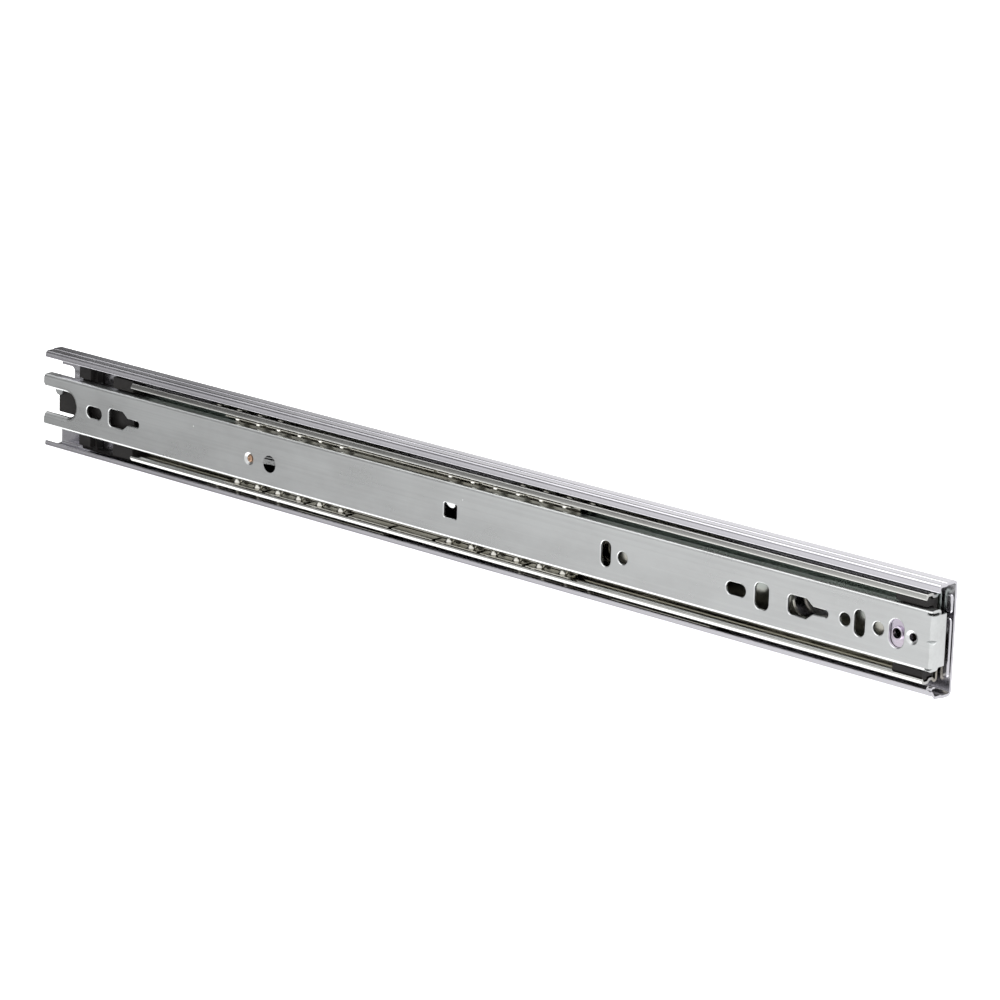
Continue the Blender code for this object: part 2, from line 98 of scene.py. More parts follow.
# A hole's rounded rim, as (distance behind the face, amount the outline is grown by)
HOLE_RIM = ((-0.4, 0.75), (-0.02, 0.5), (0.1, 0.22), (0.28, 0.06), (0.5, 0), (SHEET + 0.8, 0))
COUNTERSINK_PROFILE = ((-0.2, 3.1), (0.0, 2.95), (0.12, 2.72), (0.62, 1.95), (0.8, 1.7), (SHEET + 0.8, 1.7))

ROUND_STEPS = 48
BEND_STEPS = 8


# ---------------------------------------------------------------- camera, light and stage

CAMERA_PLACE = Vector((1.19331, -1.26609, 0.45499))
CAMERA_AZIMUTH = math.radians(-42.8696)
CAMERA_ELEVATION = math.radians(14.5739)
CAMERA_ROLL = math.radians(1.9432)
CAMERA_LENS = 155.82


def make_camera():
    forward = Vector((math.sin(CAMERA_AZIMUTH) * math.cos(CAMERA_ELEVATION),
                      math.cos(CAMERA_AZIMUTH) * math.cos(CAMERA_ELEVATION),
                      -math.sin(CAMERA_ELEVATION)))
    right = forward.cross(Vector((0.0, 0.0, 1.0))).normalized()
    up = right.cross(forward)
    across = math.cos(CAMERA_ROLL) * right + math.sin(CAMERA_ROLL) * up
    upright = math.cos(CAMERA_ROLL) * up - math.sin(CAMERA_ROLL) * right
    data = bpy.data.cameras.new("camera")
    data.lens = CAMERA_LENS
    data.sensor_width = 36.0
    data.clip_start = 0.05
    camera = bpy.data.objects.new("camera", data)
    bpy.context.collection.objects.link(camera)
    turn = Matrix((across, upright, -forward)).transposed().to_4x4()
    camera.matrix_world = Matrix.Translation(CAMERA_PLACE) @ turn
    bpy.context.scene.camera = camera
    bpy.context.scene.view_settings.view_transform = "Standard"


class Nodes:
    """Short ways to add and join shader nodes in one tree."""

    def __init__(self, tree):
        self.tree = tree

    def add(self, kind, **settings):
        node = self.tree.nodes.new(kind)
        for key, value in settings.items():
            setattr(node, key, value)
        return node

    def feed(self, socket, value):
        if isinstance(value, bpy.types.NodeSocket):
            self.tree.links.new(value, socket)
        else:
            socket.default_value = value

    def maths(self, operation, *values, clamp=False):
        node = self.add("ShaderNodeMath", operation=operation, use_clamp=clamp)
        for socket, value in zip(node.inputs, values):
            self.feed(socket, value)
        return node.outputs[0]

    def spread(self, value, low, high, to_low=0.0, to_high=1.0, smooth=True):
        node = self.add("ShaderNodeMapRange", interpolation_type="SMOOTHSTEP" if smooth else "LINEAR")
        for socket, given in zip(node.inputs, (value, low, high, to_low, to_high)):
            self.feed(socket, given)
        return node.outputs[0]

    def mix(self, factor, first, second, blend="MIX"):
        node = self.add("ShaderNodeMix", data_type="RGBA", blend_type=blend)
        self.feed(node.inputs[0], factor)
        for socket, given in ((node.inputs[6], first), (node.inputs[7], second)):
            self.feed(socket, (*given, 1.0) if isinstance(given, tuple) and len(given) == 3 else given)
        return node.outputs[2]

    def noise(self, vector, scale, detail=2.0, roughness=0.5):
        node = self.add("ShaderNodeTexNoise")
        self.feed(node.inputs["Vector"], vector)
        node.inputs["Scale"].default_value = scale
        node.inputs["Detail"].default_value = detail
        node.inputs["Roughness"].default_value = roughness
        return node.outputs["Fac"]

    def stretched(self, factors):
        """Object coordinates in metres, multiplied along each axis."""
        coordinates = self.add("ShaderNodeTexCoord").outputs["Object"]
        node = self.add("ShaderNodeVectorMath", operation="MULTIPLY")
        self.feed(node.inputs[0], coordinates)
        node.inputs[1].default_value = factors
        return node.outputs[0]


def make_world():
    """A light studio all round: dark to the left behind, bright overhead, and paler towards the right."""
    world = bpy.data.worlds.new("studio")
    world.use_nodes = True
    bpy.context.scene.world = world
    nodes = Nodes(world.node_tree)
    background = world.node_tree.nodes["Background"]
    direction = nodes.add("ShaderNodeTexCoord").outputs["Generated"]
    parts = nodes.add("ShaderNodeSeparateXYZ")
    nodes.feed(parts.inputs[0], direction)
    x, y, z = parts.outputs
    sideways = nodes.maths("ARCTAN2", x, nodes.maths("ABSOLUTE", y))
    front = nodes.spread(sideways, math.radians(-53), math.radians(-39), 0.10, 1.0)
    behind = nodes.spread(sideways, math.radians(-50), math.radians(-41), 0.04, 1.0)
    level = nodes.mix(nodes.spread(y, -0.1, 0.1), front, behind)
    overhead = nodes.spread(z, 0.62, 0.85)
    with_top = nodes.mix(overhead, level, (2.5, 2.5, 2.5))
    below = nodes.spread(z, -0.50, -0.66)
    everything = nodes.mix(below, with_top, (2.4, 2.4, 2.4))
    seen = nodes.add("ShaderNodeLightPath").outputs["Is Camera Ray"]
    nodes.feed(background.inputs["Color"], nodes.mix(seen, everything, (1.0, 1.0, 1.0)))


def make_floor():
    """A pale floor well below the slide; polished steel takes its reflections from the studio instead."""
    bpy.ops.mesh.primitive_plane_add(size=30.0, location=(0.0, 0.0, -0.35))
    floor = bpy.context.object
    floor.name = "floor"
    floor.visible_glossy = False
    floor.visible_diffuse = False
    mat = bpy.data.materials.new("pale_floor")
    mat.use_nodes = True
    nodes = Nodes(mat.node_tree)
    shader = mat.node_tree.nodes["Principled BSDF"]
    grain = nodes.noise(nodes.stretched((1.0, 1.0, 1.0)), 3.0)
    nodes.feed(shader.inputs["Base Color"], nodes.mix(grain, (0.90, 0.90, 0.90), (0.94, 0.94, 0.94)))
    shader.inputs["Roughness"].default_value = 0.9
    shader.inputs["Emission Color"].default_value = (1.0, 1.0, 1.0, 1.0)
    shader.inputs["Emission Strength"].default_value = 0.6
    floor.data.materials.append(mat)


# ---------------------------------------------------------------- outlines

def place(station, y, z):
    return Vector(((station - LENGTH / 2) * MM, y * MM, z * MM))


def arc(centre, radius, start, end, steps):
    """Points on an arc, angles in degrees, both ends included."""
    points = []
    for step in range(steps + 1):
        angle = math.radians(start + (end - start) * step / steps)
        points.append((centre[0] + radius * math.cos(angle), centre[1] + radius * math.sin(angle)))
    return points


def rounded_path(corners, steps=BEND_STEPS):
    """An open path through corners given as (a, b, bend radius); its two ends have no bend."""
    path = [corners[0][:2]]
    for before, corner, after in zip(corners, corners[1:], corners[2:]):
        here = Vector(corner[:2])
        towards_before = (Vector(before[:2]) - here).normalized()
        towards_after = (Vector(after[:2]) - here).normalized()
        half_angle = towards_before.angle(towards_after) / 2
        setback = corner[2] / math.tan(half_angle)
        middle = (towards_before + towards_after).normalized()
        centre = here + middle * (corner[2] / math.sin(half_angle))
        first = here + towards_before * setback - centre
        turn = first.angle_signed(here + towards_after * setback - centre)
        for step in range(steps + 1):
            angle = -turn * step / steps
            spoke = Vector((first.x * math.cos(angle) - first.y * math.sin(angle),
                            first.x * math.sin(angle) + first.y * math.cos(angle)))
            path.append(tuple(centre + spoke))
    path.append(corners[-1][:2])
    return path


def sheet_outline(path, thickness, end_steps=5):
    """The closed outline of a sheet of even thickness whose middle follows the path, with rounded ends."""
    count = len(path)
    normals = []
    for index in range(count):
        back = Vector(path[max(index - 1, 0)])
        here = Vector(path[index])
        ahead = Vector(path[min(index + 1, count - 1)])
        sides = []
        for start, end in ((back, here), (here, ahead)):
            if (end - start).length > 1e-9:
                direction = (end - start).normalized()
                sides.append(Vector((-direction.y, direction.x)))
        mean = sum(sides, Vector((0.0, 0.0))).normalized()
        normals.append(mean / mean.dot(sides[0]))
    half = thickness / 2
    left = [Vector(point) + normal * half for point, normal in zip(path, normals)]
    right = [Vector(point) - normal * half for point, normal in zip(path, normals)]

    def end_cap(centre, start_normal):
        outward = Vector((start_normal.y, -start_normal.x))
        points = []
        for step in range(1, end_steps + 1):
            angle = math.pi * step / (end_steps + 1)
            spoke = start_normal * math.cos(angle) + outward * math.sin(angle)
            points.append(Vector(centre) + spoke * half)
        return points

    outline = left + end_cap(path[-1], normals[-1])
    outline += list(reversed(right)) + end_cap(path[0], -normals[0])
    return [tuple(point) for point in outline]


def mirrored(half_path):
    """The whole path from its upper half, which ends at the web."""
    return half_path + [(y, -z) for y, z in reversed(half_path)]


def box_outline(a_low, a_high, b_low, b_high):
    return [(a_low, b_low), (a_high, b_low), (a_high, b_high), (a_low, b_high)]


def slot_outline(station, z, width, height, steps=24, corner=None):
    """A slot with round ends, or a window with small corner radii; its long side may lie either way."""
    radius = corner or min(width, height) / 2
    along = width / 2 - radius
    up = height / 2 - radius
    points = []
    for side_a, side_b, start in ((1, -1, -90), (1, 1, 0), (-1, 1, 90), (-1, -1, 180)):
        points += arc((station + side_a * along, z + side_b * up), radius, start, start + 90, steps // 2)
    return tidy_outline(points)


def round_outline(station, z, diameter, steps=ROUND_STEPS):
    return arc((station, z), diameter / 2, 0, 360 - 360 / steps, steps - 1)


def keyhole_outline(station):
    """A wide hooking end at the rear that narrows to a slot towards the front."""
    rear, shoulder, neck, front = station, station + 9.2, station + 12.6, station + 20.0
    wide, narrow = 4.0, 1.45
    upper = arc((front - narrow, 0), narrow, 0, 90, 8)
    upper += [(neck, narrow), (shoulder, wide)]
    upper += arc((rear + 2.0, wide - 2.0), 2.0, 90, 180, 8)
    lower = [(a, -b) for a, b in reversed(upper[1:])]
    return tidy_outline(upper + lower)


def tidy_outline(points):
    """Drops points that lie on the one before them."""
    kept = []
    for point in points:
        if not kept or (Vector(point) - Vector(kept[-1])).length > 1e-6:
            kept.append(point)
    if (Vector(kept[0]) - Vector(kept[-1])).length < 1e-6:
        kept.pop()
    return kept


def grown(outline, distance):
    """A convex or gently concave outline moved outwards by a distance; it runs counter-clockwise."""
    result = []
    count = len(outline)
    for index in range(count):
        here = Vector(outline[index])
        before = (here - Vector(outline[index - 1])).normalized()
        after = (Vector(outline[(index + 1) % count]) - here).normalized()
        normal_before = Vector((before.y, -before.x))
        normal_after = Vector((after.y, -after.x))
        mean = (normal_before + normal_after).normalized()
        result.append(tuple(here + mean * distance / max(mean.dot(normal_before), 0.4)))
    return result


# ---------------------------------------------------------------- solids

def make_object(name, mesh_builder):
    mesh = bpy.data.meshes.new(name)
    bm = bmesh.new()
    mesh_builder(bm)
    bm.to_mesh(mesh)
    bm.free()
    obj = bpy.data.objects.new(name, mesh)
    bpy.context.collection.objects.link(obj)
    return obj


def add_loft(bm, rings):
    """A closed solid through rings of equal length, capped at both ends and facing outwards."""
    loops = [[bm.verts.new(point) for point in ring] for ring in rings]
    count = len(loops[0])
    faces = []
    for lower, upper in zip(loops, loops[1:]):
        for index in range(count):
            after = (index + 1) % count
            faces.append(bm.faces.new((lower[index], lower[after], upper[after], upper[index])))
    faces.append(bm.faces.new(list(reversed(loops[0]))))
    faces.append(bm.faces.new(loops[-1]))
    origin = loops[0][0].co
    volume = 0.0
    for face in faces:
        corners = [vert.co - origin for vert in face.verts]
        for second, third in zip(corners[1:], corners[2:]):
            volume += corners[0].dot(second.cross(third))
    if volume < 0.0:
        bmesh.ops.reverse_faces(bm, faces=faces)


def add_length(bm, section, start, end):
    """A section in (Y, Z) run along X between two stations."""
    add_loft(bm, [[place(station, y, z) for y, z in section] for station in (start, end)])


def add_through(bm, outline, y_levels):
    """An outline in (station, Z) run along Y; each level is (Y, amount the outline is grown by)."""
    add_loft(bm, [[place(a, y, b) for a, b in (grown(outline, growth) if growth else outline)]
                  for y, growth in y_levels])


def add_upright(bm, outline, z_low, z_high):
    """An outline in (station, Y) run along Z."""
    add_loft(bm, [[place(a, b, z) for a, b in outline] for z in (z_low, z_high)])


def add_box(bm, stations, ys, zs):
    add_upright(bm, box_outline(*stations, *ys), *zs)


def add_turned(bm, station, z, profile, steps):
    """A turned solid about a Y axis; the profile is (Y, radius) from one end to the other."""
    add_loft(bm, [[place(station + radius * math.cos(angle), y, z + radius * math.sin(angle))
                   for angle in (2 * math.pi * step / steps for step in range(steps))]
                  for y, radius in profile])


def apply_modifiers(obj):
    depsgraph = bpy.context.evaluated_depsgraph_get()
    depsgraph.update()
    mesh = bpy.data.meshes.new_from_object(obj.evaluated_get(depsgraph))
    obj.modifiers.clear()
    obj.data = mesh


def combine(target, mesh_builder, operation):
    """Adds or removes a tool solid for good."""
    tool = make_object("tool", mesh_builder)
    modifier = target.modifiers.new("combine", "BOOLEAN")
    modifier.object = tool
    modifier.operation = operation
    modifier.solver = "EXACT"
    apply_modifiers(target)
    bpy.data.objects.remove(tool, do_unlink=True)


def clean(obj):
    bm = bmesh.new()
    bm.from_mesh(obj.data)
    bmesh.ops.remove_doubles(bm, verts=bm.verts, dist=0.004 * MM)
    bmesh.ops.dissolve_degenerate(bm, edges=bm.edges, dist=0.004 * MM)
    bm.to_mesh(obj.data)
    bm.free()


def smooth_bends(obj, angle=34):
    """Smooth shading in the bends and round rims, with the large flat faces kept flat."""
    clean(obj)
    obj.data.shade_smooth()
    obj.data.set_sharp_from_angle(angle=math.radians(angle))
    weighted = obj.modifiers.new("flat_faces", "WEIGHTED_NORMAL")
    weighted.weight = 100
    weighted.keep_sharp = True
    apply_modifiers(obj)


def soften(obj, width, segments=2, angle=34):
    """Rounds the edges of a moulded or thick piece."""
    clean(obj)
    bevel = obj.modifiers.new("edges", "BEVEL")
    bevel.width = width * MM
    bevel.segments = segments
    bevel.limit_method = "ANGLE"
    bevel.angle_limit = math.radians(angle)
    bevel.use_clamp_overlap = True
    apply_modifiers(obj)
    smooth_bends(obj, angle)


def finish_piece(obj, node, look):
    """Puts a finished piece in place of its CAD node, on the node's own body."""
    obj.name = "fine_" + node
    obj.data.materials.clear()
    obj.data.materials.append(look)
    body = next(name for name, nodes in frame["record"]["behaviour"]["bodies"].items() if node in nodes)
    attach(obj, body)
    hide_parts(node)


# ---------------------------------------------------------------- cabinet member

def outer_section():
    """C section whose flanges step in at the front, over the ball rows."""
    track = TRACK_HEIGHT / 2 - SHEET / 2
    rear = HEIGHT / 2 - SHEET / 2
    half = rounded_path([
        (-OUTER_DEPTH + SHEET / 2, LIP_EDGE + SHEET / 2),
        (-OUTER_DEPTH + SHEET / 2, track, 1.1),
        (-6.6, track, 0.7),
        (-6.1, rear, 0.7),
        (-SHEET / 2, rear, 1.6),
        (-SHEET / 2, 0.0)])
    return sheet_outline(mirrored(half[:-1]), SHEET)


def outer_hole_outlines():
    """Screw holes on the 32 mm system: slots for adjusting, round holes for fixing."""
    outlines = [slot_outline(station, 0, 5.0, 10.0) for station in (37.0, 165.0, 293.0, 421.0)]
    outlines += [round_outline(station, 0, 5.0) for station in (69.0, 197.0, 325.0, 389.0)]
    outlines += [slot_outline(station, 0, 10.0, 5.0) for station in (101.0, 357.0)]
    return outlines


def make_outer_member(look):
    outer = make_object("outer", lambda bm: add_length(bm, outer_section(), 0.0, LENGTH))

    def cuts(bm):
        for outline in outer_hole_outlines():
            add_through(bm, outline, ((-SHEET - 1.0, 0), (-0.35, 0), (-0.1, 0.12), (0.3, 0.5)))
        rear_notch = slot_outline(0.0, 0, 2 * 8.4, 2 * 14.8, corner=2.0)
        add_through(bm, rear_notch, ((-SHEET - 1.0, 0), (1.0, 0)))
        lip_end = [(LENGTH + 1.0, -TRACK_HEIGHT / 2 + 0.6)]
        lip_end += arc((LENGTH - 3.2, -LIP_EDGE - 3.2), 3.2, 0, 90, 16)
        lip_end += [(LENGTH - 3.2, -LIP_EDGE + 1.0), (LENGTH + 1.0, -LIP_EDGE + 1.0)]
        add_through(bm, lip_end, ((-OUTER_DEPTH - 1.0, 0), (-OUTER_DEPTH + SHEET + 0.2, 0)))

    combine(outer, cuts, "DIFFERENCE")

    def additions(bm):
        for side in (1, -1):
            curl = [(y, side * z) for y, z in arc((-8.2, 20.1), 1.35, 300, 100, 24) + [(-7.2, 21.7)]]
            add_length(bm, sheet_outline(curl, 0.7), 503.4, 505.6)
        for low, high in FRONT_EMBOSSES:
            emboss = slot_outline(505.6, (low + high) / 2, 3.2, high - low)
            add_through(bm, emboss, ((-SHEET + 0.4, 0.25), (-SHEET - 0.25, 0.0), (-SHEET - 0.5, -0.35),
                                     (-SHEET - 0.58, -0.8)))

    combine(outer, additions, "UNION")
    smooth_bends(outer)
    finish_piece(outer, "outer_member", look)


def make_rear_bumper(look):
    """Plastic block that cushions the two moving members as they close."""
    rear, front = BUMPER_STATIONS
    bumper = make_object("bumper",
                         lambda bm: add_box(bm, (rear, front), (-5.0, -SHEET - GAP), (-20.4, 20.4)))

    def additions(bm):
        add_box(bm, (6.5, front), (-8.6, -2.0), (-4.9, 4.9))
        for side in (1, -1):
            low, high = sorted((side * 13.0, side * 18.0))
            add_box(bm, (44.0, front), (-9.6, -4.0), (low, high))
            add_box(bm, (rear + 1.0, 27.0), (-8.0, -4.0), (low, high))
            rib = sorted((side * 5.6, side * 12.0))
            add_box(bm, (43.0, 44.2), (-7.4, -4.0), rib)

    combine(bumper, additions, "UNION")

    def windows(bm):
        for side in (1, -1):
            add_through(bm, slot_outline(35.0, side * 15.0, 13.6, 8.4, corner=1.0), ((-6.0, 0), (0.0, 0)))
        add_through(bm, slot_outline(37.0, 0, 4.6, 6.0), ((-9.6, 0), (0.0, 0)))

    combine(bumper, windows, "DIFFERENCE")
    soften(bumper, 0.35, 3)
    finish_piece(bumper, "rear_bumper", look)


# ---------------------------------------------------------------- intermediate member

def intermediate_section():
    """C section: each flange waves out over the inner balls and in under the outer balls."""
    web = -2.85
    centre_web = -4.7
    crest = 17.3
    trough = 16.25
    half = rounded_path([
        (-11.5, 15.9),
        (-10.6, crest, 0.8),
        (-8.0, crest, 0.8),
        (-7.1, trough, 0.8),
        (-5.3, trough, 0.8),
        (-4.3, crest, 0.7),
        (web, crest, 0.75),
        (web, 9.6, 0.9),
        (centre_web, 7.9, 0.9),
        (centre_web, 0.0)])
    return sheet_outline(mirrored(half[:-1]), THIN_SHEET)


def make_intermediate_member(look):
    stations = (INTERMEDIATE_REAR, INTERMEDIATE_FRONT)
    member = make_object("intermediate", lambda bm: add_length(bm, intermediate_section(), *stations))

    def cuts(bm):
        for outline in (slot_outline(142.0, 0, 16.0, 10.0), slot_outline(337.0, 0, 9.0, 12.0),
                        slot_outline(443.0, 0, 19.0, 12.6), slot_outline(485.0, 0, 9.0, 12.0)):
            add_through(bm, outline, ((-7.0, 0.9), (-5.3, 0.3), (-4.9, 0), (-3.0, 0)))

    combine(member, cuts, "DIFFERENCE")
    smooth_bends(member)
    finish_piece(member, "intermediate_member", look)


def make_front_guides(look):
    """Plastic blocks between the drawer member's flanges and the intermediate member's."""
    guide_section = [(-10.6, 12.5), (-6.1, 12.5), (-6.1, 9.9), (-3.75, 9.9), (-3.75, 16.1),
                     (-4.9, 15.3), (-7.6, 15.3), (-8.4, 16.35), (-10.1, 16.35), (-10.9, 14.9)]
    for side, word in ((1, "top"), (-1, "bottom")):
        section = [(y, side * z) for y, z in guide_section]
        guide = make_object("guide", lambda bm: add_length(bm, section, *GUIDE_STATIONS))

        def pocket(bm):
            add_upright(bm, box_outline(489.0, 500.0, -7.4, -4.6), *sorted((side * 9.0, side * 13.6)))

        combine(guide, pocket, "DIFFERENCE")
        soften(guide, 0.22, 3)
        finish_piece(guide, "front_guide_" + word, look)


# ---------------------------------------------------------------- drawer member

def inner_section():
    """C section open to the rear, with flanges that curl in at their free edges."""
    face = -DEPTH + SHEET / 2
    flange = INNER_HALF_HEIGHT - SHEET / 2
    half = rounded_path([
        (-7.0, 9.8),
        (-7.0, flange, 1.1),
        (face, flange, 1.4),
        (face, 0.0)], steps=16)
    return sheet_outline(mirrored(half[:-1]), SHEET)


def inner_face_outlines():
    """Every plain opening in the drawer member's face, from the rear."""
    return [slot_outline(34.5, 0, 10.0, 5.4),
            keyhole_outline(44.3),
            round_outline(148.0, -1.3, 6.6),
            slot_outline(255.8, 0, 7.4, 6.2, corner=0.8),
            slot_outline(342.3, 0, 5.2, 10.6),
            round_outline(351.3, 0, 5.2),
            slot_outline(410.5, 0, 10.0, 5.2),
            slot_outline(423.6, 0, 7.0, 10.6, corner=2.6),
            keyhole_outline(436.8),
            round_outline(465.0, 0, 5.2),
            slot_outline(472.1, 0, 5.2, 10.5),
            round_outline(481.3, 0, 5.2),
            slot_outline(490.0, 0, 7.2, 11.3)]


def rear_notch_path(inset):
    """The U of the rear notch, from its upper rear end round to its lower rear end."""
    radius = REAR_NOTCH_HALF_HEIGHT - inset
    centre = REAR_NOTCH_FRONT - REAR_NOTCH_HALF_HEIGHT
    return [(INNER_REAR, radius)] + arc((centre, 0), radius, 90, -90, 40) + [(INNER_REAR, -radius)]


def add_notch_flare(bm):
    """The notch's edge, pressed back and inwards as a funnel with a rolled front."""
    corners = ((-0.5, -DEPTH + 0.3), (-0.5, -DEPTH + SHEET - 0.3), (0.9, -10.7), (1.8, -9.9),
               (2.0, -10.3), (2.0, -11.1), (1.6, -11.7), (0.9, -12.3))
    rails = [rear_notch_path(inset) for inset, _ in corners]
    rings = [[place(rails[side][index][0], corners[side][1], rails[side][index][1])
              for side in range(len(corners))] for index in range(len(rails[0]))]
    add_loft(bm, rings)


def shrunk_to_tip(outline):
    """A small copy of an outline about its outermost corner, the pointed end of a stiffening dart."""
    tip = Vector(outline[1])
    return [tuple(tip + (Vector(point) - tip) * 0.1) for point in outline]


def add_dart(bm, outline, half_height):
    """A three-sided dart across a bend, whole at the middle line and pointed at both ends."""
    rings = ((shrunk_to_tip(outline), -half_height), (outline, 0.0), (shrunk_to_tip(outline), half_height))
    add_loft(bm, [[place(a, b, z) for a, b in ring] for ring, z in rings])


def make_inner_member(look):
    inner = make_object("inner", lambda bm: add_length(bm, inner_section(), INNER_REAR, INNER_FRONT))
    front, back = -DEPTH, -DEPTH + SHEET

    def notch(bm):
        outline = [(INNER_REAR - 1.0, REAR_NOTCH_HALF_HEIGHT)] + rear_notch_path(0.0)[1:-1]
        outline.append((INNER_REAR - 1.0, -REAR_NOTCH_HALF_HEIGHT))
        add_through(bm, list(reversed(outline)), ((front - 1.0, 0), (back + 0.8, 0)))

    combine(inner, notch, "DIFFERENCE")

    def cuts(bm):
        for outline in inner_face_outlines():
            add_through(bm, outline, [(front + depth, growth) for depth, growth in HOLE_RIM])
        profile = [(front + depth, radius) for depth, radius in COUNTERSINK_PROFILE]
        for station, z in COUNTERSINKS:
            add_turned(bm, station, z, profile, ROUND_STEPS)
        for station, z in HANDLING_MARKS:
            add_turned(bm, station, z, ((front - 0.2, 0.55), (front + 0.12, 0.15)), 12)

    combine(inner, cuts, "DIFFERENCE")
    combine(inner, add_notch_flare, "UNION")

    def tabs(bm):
        detent = [(6.5, 6.4), (11.5, 6.4)] + arc((9.0, 5.9), 2.5, 0, -180, 20)
        add_through(bm, list(reversed(tidy_outline(detent))), ((-11.0, 0), (-10.1, 0)))
        middle, height = TONGUE_MIDDLE
        tongue = [(middle - TONGUE_RADIUS, height + 0.8)]
        tongue += arc(TONGUE_MIDDLE, TONGUE_RADIUS, 180, 360, 16)
        tongue.append((middle + TONGUE_RADIUS, height + 0.8))
        add_loft(bm, [[place(a, y + TONGUE_SLOPE * (height - b), b) for a, b in tongue]
                      for y in (front + 0.5, front + 1.25)])
        flange_path = rounded_path([(INNER_FRONT - 1.0, front + 0.6),
                                    (INNER_FRONT + 0.7, front + 0.6, 1.0),
                                    (INNER_FRONT + 0.7, -4.8)], 12)
        add_upright(bm, sheet_outline(flange_path, SHEET - 0.1), -10.3, 10.3)
        backing = [(INNER_FRONT - 3.4, back - 0.4), (INNER_FRONT + 0.6, back - 0.4),
                   (INNER_FRONT + 0.6, back + 3.4)]
        add_dart(bm, backing, 2.4)

    combine(inner, tabs, "UNION")

    def dart(bm):
        outline = [(INNER_FRONT - 2.3, front - 1.0), (INNER_FRONT + 2.2, front - 1.0),
                   (INNER_FRONT + 2.2, front + 4.6)]
        add_dart(bm, outline, 1.9)
        for side in (1, -1):
            add_box(bm, (504.2, INNER_FRONT + 0.4), (front - 1.0, -10.6),
                    sorted((side * 10.35, side * 11.2)))

    combine(inner, dart, "DIFFERENCE")
    smooth_bends(inner)
    finish_piece(inner, "inner_member", look)


def make_stop_rivet(look):
    station, z = COUNTERSINKS[0]
    profile = ((-12.28, 0.55), (-12.45, 0.75), (-12.42, 1.05), (-12.25, 1.38), (-12.0, 1.5), (-11.6, 1.42),
               (-11.1, 1.4), (-11.1, 2.3), (-10.2, 2.3), (-9.9, 1.7), (-7.2, 1.7), (-6.9, 1.3))
    rivet = make_object("rivet", lambda bm: add_turned(bm, station, z, profile, ROUND_STEPS))
    smooth_bends(rivet)
    finish_piece(rivet, "stop_rivet", look)


def make_adjuster_plate(look):
    """Small plate behind the drawer member's face; its raised boss shows in the large front slot."""
    near = -DEPTH + SHEET + GAP
    far = near + 1.0
    outline = slot_outline(493.4, 0, 17.0, 15.0, corner=2.0)
    boss = ((-12.22, 2.28), (-12.3, 2.4), (-12.27, 2.56), (-12.15, 2.68), (near + 0.2, 2.75))
    plate = make_object("plate", lambda bm: add_through(bm, outline, ((near, 0), (far, 0))))
    combine(plate, lambda bm: add_turned(bm, BOSS_STATION, 0, boss, ROUND_STEPS), "UNION")

    def holes(bm):
        add_turned(bm, BOSS_STATION, 0, ((-13.0, 2.05), (-9.0, 2.05)), ROUND_STEPS)
        add_turned(bm, 497.5, 0, ((-12.0, 1.6), (-9.0, 1.6)), ROUND_STEPS)

    combine(plate, holes, "DIFFERENCE")
    smooth_bends(plate)
    finish_piece(plate, "adjuster_plate", look)


# ---------------------------------------------------------------- retainers and balls

def inner_ball_stations():
    stations = []
    for tab in range(INNER_TAB_COUNT):
        if tab in INNER_TABS_WITHOUT_BALLS:
            continue
        middle = INNER_RETAINER_MIDDLE + (tab - (INNER_TAB_COUNT - 1) / 2) * 2 * BALL_PITCH
        stations += [middle - BALL_PITCH / 2, middle + BALL_PITCH / 2]
    return stations


def outer_ball_stations(rear):
    return [rear + OUTER_FIRST_BALL + index * BALL_PITCH for index in range(OUTER_BALLS_PER_ROW)]


def add_ball_windows(bm, stations, y, height):
    """Upright pockets that clear the balls, above and below."""
    for station in stations:
        pocket = arc((station, y), BALL_RADIUS + GAP, 0, 360 - 360 / ROUND_STEPS, ROUND_STEPS - 1)
        for side in (1, -1):
            add_upright(bm, pocket, *sorted((side * (height - 2.0), side * (height + 2.0))))


def make_inner_retainer(look):
    half_length = INNER_TAB_COUNT * BALL_PITCH - INNER_TAB_NOTCH / 2
    rear, front = INNER_RETAINER_MIDDLE - half_length, INNER_RETAINER_MIDDLE + half_length
    flange, web = 14.75, -5.8
    half = rounded_path([(-11.6, flange), (web, flange, 0.7), (web, 0.0)])
    section = sheet_outline(mirrored(half[:-1]), RETAINER_SHEET)
    retainer = make_object("retainer", lambda bm: add_length(bm, section, rear, front))

    def cuts(bm):
        add_ball_windows(bm, inner_ball_stations(), INNER_BALL_Y, flange)
        for notch in range(1, INNER_TAB_COUNT):
            middle = INNER_RETAINER_MIDDLE + (notch - INNER_TAB_COUNT / 2) * 2 * BALL_PITCH
            half_notch = INNER_TAB_NOTCH / 2
            for side in (1, -1):
                add_box(bm, (middle - half_notch, middle + half_notch), (-13.0, -7.2),
                        sorted((side * (flange - 1.5), side * (flange + 1.5))))
        add_through(bm, slot_outline(142.0, 0, 16.0, 10.0), ((-7.0, 0), (-5.0, 0)))

    combine(retainer, cuts, "DIFFERENCE")
    smooth_bends(retainer)
    finish_piece(retainer, "inner_ball_retainer", look)


